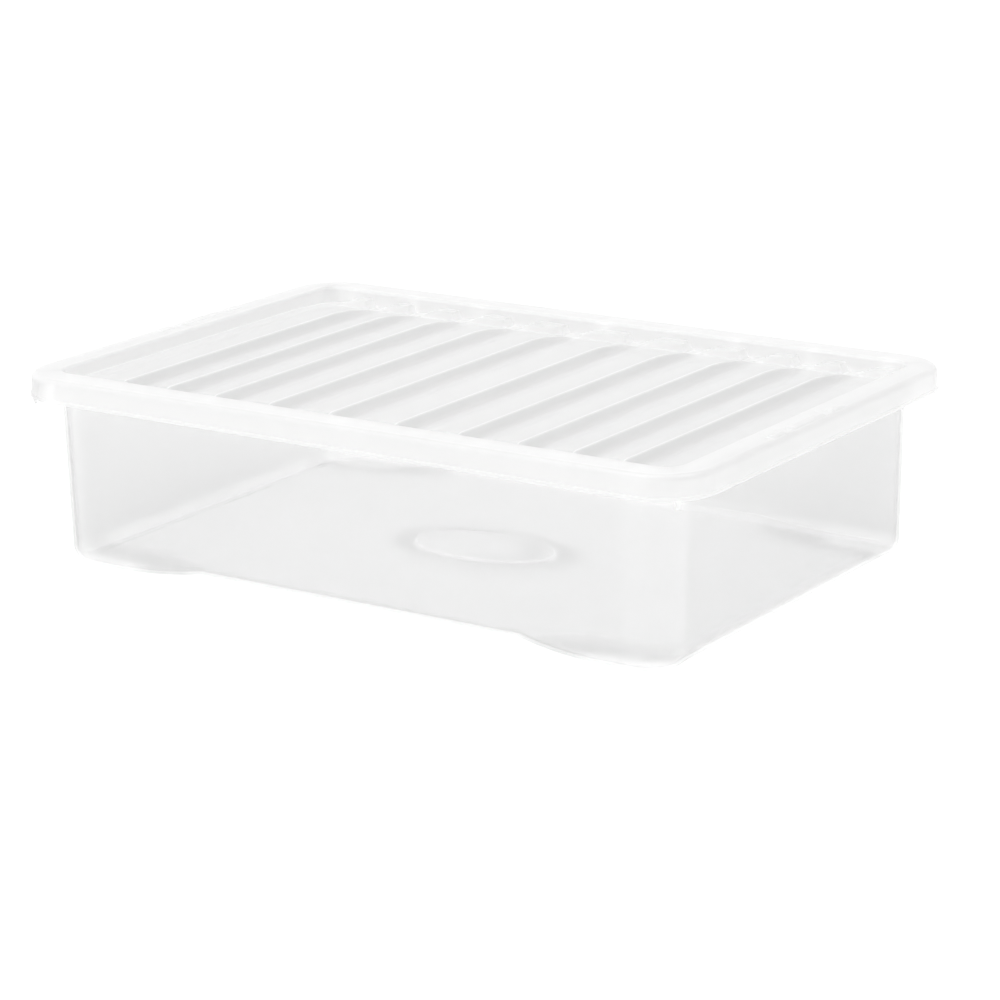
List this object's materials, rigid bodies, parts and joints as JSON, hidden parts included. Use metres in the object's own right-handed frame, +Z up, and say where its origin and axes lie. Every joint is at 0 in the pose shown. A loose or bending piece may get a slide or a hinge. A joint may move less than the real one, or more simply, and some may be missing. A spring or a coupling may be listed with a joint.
{
  "type": "under bed box",
  "caption": "Shallow see-through plastic storage box with a lift-off lid; the lid's sunken panel has scooped cross ribs and the tub stands on low moulded feet.",
  "frame": {"origin": "middle of the box's footprint, on the surface it stands on", "axes": "+X along the box's long side, +Y along its short side, +Z up through the lid"},
  "size_m": [0.6, 0.4, 0.1497],
  "materials": {
    "clear_tub": "clear, slightly milky moulded polypropylene, glossy",
    "clear_lid": "frosted-clear moulded polypropylene, soft gloss, whiter than the tub"
  },
  "bodies": {
    "tub": {"tub": "clear_tub"},
    "lid": {"lid": "clear_lid"}
  },
  "joints": [
    {"name": "lid_lift", "type": "slide", "parent": "tub", "child": "lid", "axis": [0, 0, 1], "range_m": [0, 0.18]}
  ]
}
